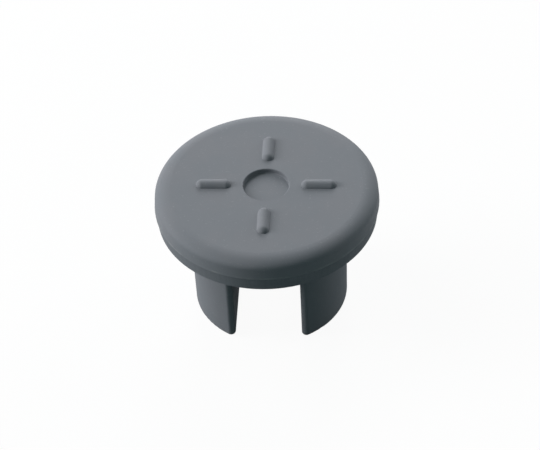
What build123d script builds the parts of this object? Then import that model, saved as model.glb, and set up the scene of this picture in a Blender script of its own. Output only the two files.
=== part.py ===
from build123d import *
import os

# Rubber stopper for a freeze-drying vial, moulded in one piece and standing on its two legs.
# Millimetres, +Z up. The origin lies on the axis, level with the leg ends.
# The legs stand at -X and +X, and the vent slot between them runs along Y.

# Flange
flange_diameter = 19.0
flange_thickness = 3.0
rim_run = 1.3  # how far in from the wall the rounded top edge reaches
rim_drop = 0.8  # how far down the wall it reaches
wall_inset = 0.08  # draft of the wall, from the parting line up to the rounded edge
parting_height = 1.25  # parting line above the underside
flash_step = 0.06  # how far inside the parting line the cut edge starts
flash_drop = 0.05  # how far the step to the cut edge slopes down
cut_inset = 0.18  # how far the cut edge has drawn in at the underside

# Plug: a parallel sealing band under the flange, then the two legs
band_diameter = 13.4
band_length = 1.85
band_margin = 0.1  # plain wall between the band and the rounded mouths of the slot
leg_length = 7.1
leg_inset = 0.07  # how far a leg has drawn in at its end
leg_end_radius = 0.2
root_bevel = 0.25  # strengthens the corner between the plug and the flange

# Vent slot between the legs
slot_width = 5.7
slot_roof_radius = 0.5
slot_mouth_radius = 0.4

# Needle target: the round recess in the middle of the top
target_diameter = 3.9
target_depth = 0.4
target_corner_radius = 0.1  # between its wall and its floor
target_lip_bevel = 0.05  # where its wall meets the top

# Spacer ribs around the target
rib_count = 4
rib_pitch_radius = 4.43  # from the axis to the middle of a rib
rib_length = 3.05
rib_crown_radius = 0.55
rib_height = 0.4

# Levels above the leg ends
slot_roof = leg_length
band_foot = slot_roof + slot_mouth_radius + band_margin
underside = band_foot + band_length
parting_line = underside + parting_height
flange_top = underside + flange_thickness
target_floor = flange_top - target_depth

# Radii about the axis
flange_radius = flange_diameter / 2
wall_top_radius = flange_radius - wall_inset
band_radius = band_diameter / 2
leg_end_outer_radius = band_radius - leg_inset
target_radius = target_diameter / 2


def half_section():
    """Outline that the body is turned from, from the target's floor out and down to the leg ends."""
    corner_centre = (target_radius - target_corner_radius, target_floor + target_corner_radius)
    target_corner = CenterArc(corner_centre, target_corner_radius, start_angle=270, arc_size=90)
    target_bottom = Line((0, target_floor), target_corner @ 0)
    rim_centre = (wall_top_radius - rim_run, flange_top - rim_drop)
    rim = EllipticalCenterArc(rim_centre, rim_run, rim_drop, start_angle=0, arc_size=90)
    top = Polyline(
        target_corner @ 1,
        (target_radius, flange_top - target_lip_bevel),
        (target_radius + target_lip_bevel, flange_top),
        rim @ 1,
    )
    flange_side = Polyline(
        rim @ 0,
        (flange_radius, parting_line),
        (flange_radius - flash_step, parting_line - flash_drop),
        (flange_radius - cut_inset, underside),
        (band_radius + root_bevel, underside),
    )
    plug_side = Polyline(
        flange_side @ 1,
        (band_radius, underside - root_bevel),
        (band_radius, band_foot),
        (leg_end_outer_radius, 0),
        (0, 0),
        (0, target_floor),
    )
    return target_bottom + target_corner + top + rim + flange_side + plug_side


def turned_body():
    """The stopper before its slot and ribs, turned about Z."""
    return revolve(make_face(Plane.XZ * half_section()), Axis.Z)


def slot_cutter():
    """Bar for the vent slot: flat sides, with rounded corners under the roof."""
    height = slot_roof + slot_width
    bar = Pos(0, 0, slot_roof - height / 2) * Box(slot_width, flange_diameter, height)
    roof_corners = bar.edges().filter_by(Axis.Y).group_by(Axis.Z)[-1]
    return fillet(roof_corners, slot_roof_radius)


def is_slot_mouth(edge):
    """True for an edge where the slot breaks through the plug's outer wall."""
    start, middle = edge @ 0, edge @ 0.5
    within_slot = abs(middle.X) < slot_width / 2 + 0.01 and 0.01 < middle.Z < slot_roof + 0.01
    at_front_or_back = abs(middle.Y) > band_radius / 2 and abs(start.Y) > band_radius / 2
    return within_slot and at_front_or_back


def cut_slot(body):
    """Cut the vent slot, which leaves two legs, and round its mouths and the leg ends."""
    body -= slot_cutter()
    body = fillet(body.edges().filter_by(is_slot_mouth), slot_mouth_radius)
    return fillet(body.faces().group_by(Axis.Z)[0].edges(), leg_end_radius)


def rib():
    """Bar with a round crown and round ends, sunk so that only its crown stands out of the top."""
    straight = rib_length - 2 * rib_crown_radius
    bar = Rot(0, 90, 0) * Cylinder(rib_crown_radius, straight)
    for side in (-1, 1):
        bar += Pos(side * straight / 2, 0, 0) * Sphere(rib_crown_radius)
    return Pos(rib_pitch_radius, 0, flange_top + rib_height - rib_crown_radius) * bar


def add_ribs(body):
    """Raise the spacer ribs on the top, evenly spaced around the target."""
    for spot in PolarLocations(0, rib_count):
        body += spot * rib()
    return body


os.makedirs("parts", exist_ok=True)
export_step(add_ribs(cut_slot(turned_body())), "parts/stopper.step")
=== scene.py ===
import math

import bpy
from mathutils import Matrix, Vector

# Looks for a grey rubber freeze-drying stopper. Lengths are metres unless a name or comment says otherwise.
# Azimuth 0 is the side that faces the camera's half of the room (-Y), and 90 is +X.

MM = 0.001

# Camera. Angles are in degrees.
AIM_HEIGHT = 9.45 * MM  # the flange's underside, on the axis
VIEW_AZIMUTH = 4.9
VIEW_ELEVATION = 43.49
VIEW_ROLL = 3.17
VIEW_DISTANCE = 169.2 * MM
LENS_MM = 132.81
SENSOR_MM = 36.0
NEAREST_SEEN = 0.001
FARTHEST_SEEN = 10.0
PAN = -0.0717  # turns the aim a little off the axis, for the photograph's framing
TILT = -0.4166

# Zones of the rubber, in millimetres. Its cut edge is the flange's wall below the parting line.
UNDERSIDE = 9.45
PARTING_LINE = 10.7
CUT_EDGE_RADIUS = 9.25
CUT_EDGE_START = (0.08, 0.02)  # how far below the parting line it is whole, and where it begins
CUT_EDGE_BLEND = 0.05
LIP_HIGHLIGHT_HEIGHT = 0.2  # painted highlight band just above the parting line, where its ridge catches the light
LIP_HIGHLIGHT_WANDER = 0.14
LIP_HIGHLIGHT_BLEND = (0.06, 0.08)  # at its foot and at its top
GLOSS_BLEND = 0.2  # from the plug's gloss to the flange's

# Rubber
FLANGE_ROUGHNESS = 0.6  # the mould is a little smoother there than over the plug
PLUG_ROUGHNESS = 0.9
ROUGHNESS_SPREAD = 0.08
CUT_EXTRA_ROUGHNESS = 0.1
SPECULAR_LEVEL = 0.12
MOULDED_DARK = (0.212, 0.222, 0.244, 1)
MOULDED_LIGHT = (0.220, 0.226, 0.247, 1)
CUT_DARK = (0.190, 0.200, 0.219, 1)
CUT_LIGHT = (0.203, 0.213, 0.234, 1)
# Light specks in the rubber, and also the colour of the painted highlight along the lip
FLECK_AND_LIP_HIGHLIGHT = (0.300, 0.310, 0.320, 1)
FLECK_SHARE = 0.35
LIP_HIGHLIGHT_SHARE = (0.05, 0.60)  # least and most of the fleck colour along the lip, as a painted highlight
BUMP_STRENGTH = 0.35
BUMP_DEPTH = 0.02 * MM
GRAIN_HEIGHT = 0.35  # against the orange peel's 1
STREAK_HEIGHT = 2.0

WHITE = (1, 1, 1, 1)

FLOOR_HALF_SIZE = 1.5
FLOOR_GAP = 0.01 * MM  # keeps the floor off the leg ends
FLOOR_WHITE = 0.94  # share of plain white that the camera sees in the floor
FLOOR_ALBEDO = 0.18  # lights the part's lower half from below

LAMP_DISTANCE = 0.45
LAMP_SIZE = 0.2
WORLD_FILL = 0.14
FILL_TINT = (0.73, 1.02, 1.04)  # the shade is a little cooler than the light


def towards(azimuth, elevation):
    """Unit vector from the part towards a place in the room."""
    a, e = math.radians(azimuth), math.radians(elevation)
    return Vector((math.sin(a) * math.cos(e), -math.cos(a) * math.cos(e), math.sin(e)))


def facing(position, target):
    """Rotation that points an object's -Z at a target, with Y up."""
    return (target - position).to_track_quat("-Z", "Y").to_matrix().to_4x4()


def add_camera():
    """The photograph's viewpoint."""
    data = bpy.data.cameras.new("camera")
    data.lens = LENS_MM
    data.sensor_width = SENSOR_MM
    data.clip_start = NEAREST_SEEN
    data.clip_end = FARTHEST_SEEN
    camera = bpy.data.objects.new("camera", data)
    bpy.context.scene.collection.objects.link(camera)
    target = Vector((0, 0, AIM_HEIGHT))
    position = target + towards(VIEW_AZIMUTH, VIEW_ELEVATION) * VIEW_DISTANCE
    turn = (
        Matrix.Rotation(math.radians(-VIEW_ROLL), 4, "Z")
        @ Matrix.Rotation(math.radians(PAN), 4, "Y")
        @ Matrix.Rotation(math.radians(TILT), 4, "X")
    )
    camera.matrix_world = Matrix.Translation(position) @ facing(position, target) @ turn
    bpy.context.scene.camera = camera


def add_lamp(name, azimuth, elevation, level):
    """Square soft lamp aimed at the part. A white wall that faces it renders at about its level."""
    data = bpy.data.lights.new(name, "AREA")
    data.shape = "SQUARE"
    data.size = LAMP_SIZE
    data.energy = level * (math.pi * LAMP_DISTANCE) ** 2
    lamp = bpy.data.objects.new(name, data)
    bpy.context.scene.collection.objects.link(lamp)
    target = Vector((0, 0, AIM_HEIGHT))
    position = target + towards(azimuth, elevation) * LAMP_DISTANCE
    lamp.matrix_world = Matrix.Translation(position) @ facing(position, target)


class Nodes:
    """Short hand for building one node tree."""

    def __init__(self, tree):
        self.tree = tree
        self.tree.nodes.clear()

    def feed(self, socket, value):
        """Link a socket to the value, or set the value on it."""
        if isinstance(value, bpy.types.NodeSocket):
            self.tree.links.new(value, socket)
        else:
            socket.default_value = value

    def add(self, kind, inputs=None, **settings):
        """New node with its settings and inputs, where an input is a socket or a value."""
        node = self.tree.nodes.new(kind)
        for name, value in settings.items():
            setattr(node, name, value)
        for key, value in (inputs or {}).items():
            self.feed(node.inputs[key], value)
        return node

    def math(self, operation, *values):
        """Result of one Math node."""
        return self.add("ShaderNodeMath", dict(enumerate(values)), operation=operation).outputs[0]

    def vector(self, operation, *values):
        """Result of one Vector Math node that gives a vector."""
        return self.add("ShaderNodeVectorMath", dict(enumerate(values)), operation=operation).outputs[0]

    def remap(self, value, low, high, to_low=0.0, to_high=1.0):
        """Value taken smoothly from one range to another."""
        inputs = {0: value, 1: low, 2: high, 3: to_low, 4: to_high}
        return self.add("ShaderNodeMapRange", inputs, interpolation_type="SMOOTHSTEP").outputs[0]

    def noise(self, place, scale, detail=3.0, roughness=0.5):
        """Noise from 0 to 1, whose scale is in features per millimetre."""
        inputs = {"Vector": place, "Scale": scale, "Detail": detail, "Roughness": roughness}
        return self.add("ShaderNodeTexNoise", inputs).outputs["Fac"]

    def mix(self, share, first, second):
        """Blend of two colours. The Mix node's colour sockets come after those of its other types."""
        return self.add("ShaderNodeMix", {0: share, 6: first, 7: second}, data_type="RGBA").outputs[2]

    def seen(self):
        """1 where a surface is seen, straight, in a gloss or through glass, and 0 where it gives light."""
        path = self.add("ShaderNodeLightPath")
        seen = self.math("MAXIMUM", path.outputs["Is Camera Ray"], path.outputs["Is Glossy Ray"])
        return self.math("MAXIMUM", seen, path.outputs["Is Transmission Ray"])


def cut_edge_share(n, place, level):
    """1 on the flange's cut edge, 0 elsewhere."""
    radius = n.add("ShaderNodeVectorMath", {0: n.vector("MULTIPLY", place, (1, 1, 0))}, operation="LENGTH")
    whole, start = CUT_EDGE_START
    below = n.remap(level, PARTING_LINE - whole, PARTING_LINE - start, 1.0, 0.0)
    outside = n.remap(radius.outputs["Value"], CUT_EDGE_RADIUS - CUT_EDGE_BLEND, CUT_EDGE_RADIUS)
    return n.math("MULTIPLY", below, outside)


def painted_lip_highlight_share(n, place, level):
    """How much of the fleck colour the ragged lip along the parting line gets, in patches, as a painted
    highlight where its ridge catches the light.
    """
    ragged = n.math("MULTIPLY_ADD", n.noise(place, 2.5), LIP_HIGHLIGHT_WANDER, level)
    foot, top = PARTING_LINE, PARTING_LINE + LIP_HIGHLIGHT_HEIGHT
    above_foot = n.remap(ragged, foot, foot + LIP_HIGHLIGHT_BLEND[0])
    below_top = n.remap(ragged, top, top + LIP_HIGHLIGHT_BLEND[1], 1.0, 0.0)
    patches = n.remap(n.noise(place, 0.6, 2.0), 0.42, 0.60, *LIP_HIGHLIGHT_SHARE)
    return n.math("MULTIPLY", n.math("MULTIPLY", above_foot, below_top), patches)


def rubber_colour(n, place, level, cut, streak):
    """Grey with faint clouds and a few flecks, a darker cut edge and a painted highlight along the lip
    above it.
    """
    cloud = n.remap(n.noise(place, 0.35, 2.0), 0.35, 0.65)
    moulded = n.mix(cloud, MOULDED_DARK, MOULDED_LIGHT)
    fleck = n.remap(n.noise(place, 6.0, 0.0), 0.74, 0.80, 0.0, FLECK_SHARE)
    moulded = n.mix(fleck, moulded, FLECK_AND_LIP_HIGHLIGHT)
    cut_colour = n.mix(n.remap(streak, 0.35, 0.65), CUT_DARK, CUT_LIGHT)
    colour = n.mix(cut, moulded, cut_colour)
    # Painted highlight along the lip just above the parting line.
    return n.mix(painted_lip_highlight_share(n, place, level), colour, FLECK_AND_LIP_HIGHLIGHT)


def rubber_bump(n, place, cut, streak):
    """Fine grain over a soft orange peel, with streaks down the cut edge."""
    grain = n.noise(place, 9.0, 3.0, 0.6)
    orange_peel = n.noise(place, 1.6, 2.0)
    height = n.math("MULTIPLY_ADD", grain, GRAIN_HEIGHT, orange_peel)
    height = n.math("MULTIPLY_ADD", n.math("MULTIPLY", streak, cut), STREAK_HEIGHT, height)
    inputs = {"Strength": BUMP_STRENGTH, "Distance": BUMP_DEPTH, "Height": height}
    return n.add("ShaderNodeBump", inputs).outputs[0]


def rubber_roughness(n, place, level, cut):
    """Duller over the plug than over the flange, and a little duller again on the cut edge."""
    roughness = n.remap(level, UNDERSIDE - GLOSS_BLEND, UNDERSIDE, PLUG_ROUGHNESS, FLANGE_ROUGHNESS)
    roughness = n.math("MULTIPLY_ADD", n.noise(place, 3.0), ROUGHNESS_SPREAD, roughness)
    return n.math("MULTIPLY_ADD", cut, CUT_EXTRA_ROUGHNESS, roughness)


def rubber_material():
    """Matte grey rubber, moulded all over but for the edge where it was cut from its sheet."""
    material = bpy.data.materials.new("grey_rubber_look")
    material.use_nodes = True
    n = Nodes(material.node_tree)
    position = n.add("ShaderNodeTexCoord").outputs["Object"]
    place = n.add("ShaderNodeVectorMath", {0: position, "Scale": 1 / MM}, operation="SCALE").outputs[0]
    level = n.add("ShaderNodeSeparateXYZ", {0: place}).outputs["Z"]
    cut = cut_edge_share(n, place, level)
    streak = n.noise(n.vector("MULTIPLY", place, (1, 1, 0.1)), 4.0, 4.0, 0.6)
    inputs = {
        "Base Color": rubber_colour(n, place, level, cut, streak),
        "Roughness": rubber_roughness(n, place, level, cut),
        "Specular IOR Level": SPECULAR_LEVEL,
        "Normal": rubber_bump(n, place, cut, streak),
    }
    shader = n.add("ShaderNodeBsdfPrincipled", inputs)
    n.add("ShaderNodeOutputMaterial", {"Surface": shader.outputs[0]})
    return material


def floor_material():
    """Pale floor: the camera sees it near white, with the part's soft shadow."""
    material = bpy.data.materials.new("floor")
    material.use_nodes = True
    n = Nodes(material.node_tree)
    white = n.add("ShaderNodeEmission", {"Color": WHITE, "Strength": 1.0})
    lit = n.add("ShaderNodeBsdfDiffuse", {"Color": WHITE})
    shown = n.add("ShaderNodeMixShader", {0: FLOOR_WHITE, 1: lit.outputs[0], 2: white.outputs[0]})
    bounce = n.add("ShaderNodeBsdfDiffuse", {"Color": [FLOOR_ALBEDO * share for share in FILL_TINT] + [1]})
    both = n.add("ShaderNodeMixShader", {0: n.seen(), 1: bounce.outputs[0], 2: shown.outputs[0]})
    n.add("ShaderNodeOutputMaterial", {"Surface": both.outputs[0]})
    return material


def add_floor():
    """Plain floor just under the leg ends."""
    half, height = FLOOR_HALF_SIZE, -FLOOR_GAP
    corners = [(-half, -half, height), (half, -half, height), (half, half, height), (-half, half, height)]
    mesh = bpy.data.meshes.new("floor")
    mesh.from_pydata(corners, [], [(0, 1, 2, 3)])
    mesh.materials.append(floor_material())
    floor = bpy.data.objects.new("floor", mesh)
    bpy.context.scene.collection.objects.link(floor)


def set_world(fill):
    """Even fill light, which the camera sees as plain white."""
    world = bpy.data.worlds.new("world")
    world.use_nodes = True
    bpy.context.scene.world = world
    n = Nodes(world.node_tree)
    seen = n.seen()
    strength = n.remap(seen, 0.0, 1.0, fill, 1.0)
    colour = n.mix(seen, FILL_TINT + (1,), WHITE)
    background = n.add("ShaderNodeBackground", {"Color": colour, "Strength": strength})
    n.add("ShaderNodeOutputWorld", {"Surface": background.outputs[0]})


def add_lamps():
    """Soft studio light: strong on the left and behind, weaker on the right, and none in front."""
    add_lamp("left_low", -90, 12, 0.38)
    add_lamp("left_high", -90, 28, 0.42)
    add_lamp("back_left", -115, 50, 0.24)
    add_lamp("back", 180, 24, 0.56)
    add_lamp("back_right", 124, 14, 0.26)


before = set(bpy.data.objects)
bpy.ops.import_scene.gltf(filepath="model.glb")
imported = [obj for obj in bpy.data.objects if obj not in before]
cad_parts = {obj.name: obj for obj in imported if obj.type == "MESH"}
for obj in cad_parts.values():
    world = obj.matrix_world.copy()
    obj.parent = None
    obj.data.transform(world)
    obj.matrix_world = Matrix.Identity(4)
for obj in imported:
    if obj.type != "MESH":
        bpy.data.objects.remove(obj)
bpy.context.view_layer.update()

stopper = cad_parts["stopper"]
stopper.material_slots[0].material = rubber_material()

add_camera()
add_floor()
set_world(WORLD_FILL)
add_lamps()

scene = bpy.context.scene
scene.view_settings.view_transform = "Standard"
